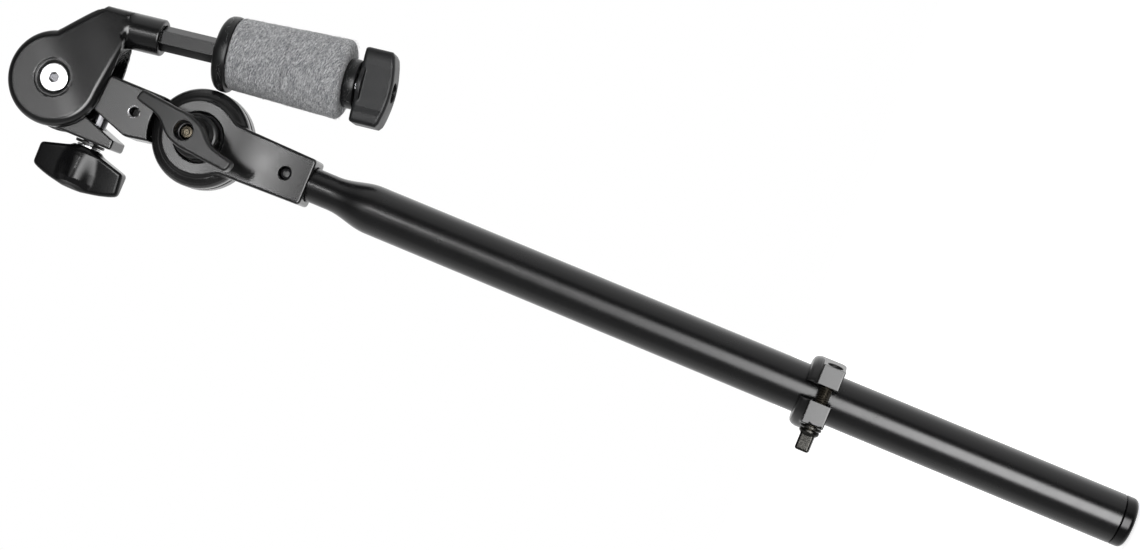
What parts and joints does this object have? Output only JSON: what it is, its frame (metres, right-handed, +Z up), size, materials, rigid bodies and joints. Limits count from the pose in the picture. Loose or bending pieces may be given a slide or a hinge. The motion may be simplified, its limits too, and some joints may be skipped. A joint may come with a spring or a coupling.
{
  "type": "cymbal boom arm",
  "caption": "Folding boom arm with a clamped cymbal tilter, felt washers, a wing nut and a hinged memory lock on its tube.",
  "frame": {"origin": "centre of the end face of the tube's plug, at the lower end of the tube", "axes": "+Z up the tube towards the joint; both hinges of the arm turn about Y; the front, with the lever nut, faces -Y; +X is the side the cymbal post is folded to"},
  "size_m": [0.1109, 0.0575, 0.5285],
  "materials": {
    "post_tube": "satin black paint",
    "tube_end_plug": "gloss black moulding",
    "tube_bracket": "satin black paint over die casting",
    "bracket_roll_pin": "zinc plated steel",
    "boom_block": "satin black paint over die casting",
    "joint_bolt": "zinc plated steel",
    "joint_spring": "zinc plated steel",
    "joint_friction_washer": "brown hard fibre sheet",
    "joint_flat_washer": "zinc plated steel",
    "joint_lever_nut": "satin black paint over die casting",
    "tilt_spacer": "satin black paint",
    "tilt_washer": "zinc plated steel",
    "tilt_bolt_stud": "zinc plated steel",
    "tilt_wing": "gloss black moulding",
    "tilter_head": "satin black paint over die casting",
    "hub_sleeve": "machined",
    "pivot_screw": "bright plated steel",
    "pivot_nut": "zinc plated steel",
    "cymbal_post": "black coated steel",
    "post_sleeve": "fine matt charcoal moulding",
    "seat_cup": "fine matt charcoal moulding",
    "lower_felt": "grey pressed wool felt",
    "upper_felt": "grey pressed wool felt",
    "nut_collar": "fine matt charcoal moulding",
    "nut_spring": "zinc plated steel",
    "cymbal_wing_nut": "fine matt charcoal moulding",
    "nut_insert": "zinc plated steel",
    "lock_upper_jaw": "satin black paint over die casting",
    "lock_lower_jaw": "satin black paint over die casting",
    "lock_hinge_pin": "zinc plated steel",
    "lock_washer": "zinc plated steel",
    "lock_key_bolt": "zinc plated steel"
  },
  "bodies": {
    "arm": {"post_tube": "post_tube", "tube_end_plug": "tube_end_plug", "tube_bracket": "tube_bracket", "bracket_roll_pin": "bracket_roll_pin", "joint_flat_washer": "joint_flat_washer"},
    "boom": {"boom_block": "boom_block", "joint_bolt": "joint_bolt", "joint_spring": "joint_spring", "joint_friction_washer": "joint_friction_washer", "tilt_spacer": "tilt_spacer"},
    "lever": {"joint_lever_nut": "joint_lever_nut"},
    "tilt_wing_set": {"tilt_wing": "tilt_wing", "tilt_bolt_stud": "tilt_bolt_stud", "tilt_washer": "tilt_washer"},
    "tilter": {"tilter_head": "tilter_head", "hub_sleeve": "hub_sleeve", "pivot_screw": "pivot_screw", "pivot_nut": "pivot_nut", "cymbal_post": "cymbal_post", "post_sleeve": "post_sleeve", "seat_cup": "seat_cup", "lower_felt": "lower_felt"},
    "top_felt": {"upper_felt": "upper_felt"},
    "collar": {"nut_collar": "nut_collar", "nut_spring": "nut_spring"},
    "wing_nut": {"cymbal_wing_nut": "cymbal_wing_nut", "nut_insert": "nut_insert"},
    "lock": {"lock_upper_jaw": "lock_upper_jaw", "lock_hinge_pin": "lock_hinge_pin"},
    "lock_jaw": {"lock_lower_jaw": "lock_lower_jaw"},
    "lock_washer_set": {"lock_washer": "lock_washer"},
    "lock_bolt": {"lock_key_bolt": "lock_key_bolt"}
  },
  "joints": [
    {"name": "boom_joint", "type": "hinge", "parent": "arm", "child": "boom", "pos_m": [0, 0, 0.4377], "axis": [0, -1, 0], "range_deg": [-15, 100]},
    {"name": "lever_turn", "type": "hinge", "parent": "boom", "child": "lever", "pos_m": [0, -0.02, 0.4377], "axis": [0, -1, 0], "continuous": true},
    {"name": "tilter_hinge", "type": "hinge", "parent": "boom", "child": "tilter", "pos_m": [0, 0, 0.507], "axis": [0, -1, 0], "range_deg": [0, 165]},
    {"name": "tilt_wing_turn", "type": "hinge", "parent": "boom", "child": "tilt_wing_set", "pos_m": [-0.03, 0, 0.4847], "axis": [-1, 0, 0], "continuous": true},
    {"name": "nut_slide", "type": "slide", "parent": "tilter", "child": "collar", "axis": [0.1495, 0, -0.9888], "range_m": [0, 0.03]},
    {"name": "upper_felt_slide", "type": "slide", "parent": "tilter", "child": "top_felt", "axis": [0.1495, 0, -0.9888], "range_m": [0, 0.0301]},
    {"name": "nut_turn", "type": "hinge", "parent": "collar", "child": "wing_nut", "pos_m": [0.0499, 0, 0.37491], "axis": [0.1495, 0, -0.9888], "continuous": true},
    {"name": "lock_slide", "type": "slide", "parent": "arm", "child": "lock", "axis": [0, 0, 1], "range_m": [-0.125, 0.19]},
    {"name": "lock_jaw_open", "type": "hinge", "parent": "lock", "child": "lock_jaw", "pos_m": [0, 0.0176, 0.1434], "axis": [0, 0, -1], "range_deg": [0, 2]},
    {"name": "lock_bolt_travel", "type": "slide", "parent": "lock", "child": "lock_washer_set", "axis": [-1, 0, 0], "range_m": [0, 0.0012]},
    {"name": "key_bolt_turn", "type": "hinge", "parent": "lock_washer_set", "child": "lock_bolt", "pos_m": [-0.015, -0.0156, 0.1411], "axis": [-1, 0, 0], "continuous": true}
  ],
  "couplings": [
    {"joint": "upper_felt_slide", "follows": "nut_slide", "ratio": 1},
    {"joint": "lock_bolt_travel", "follows": "lock_jaw_open", "m_per_rad": 0.0332}
  ]
}
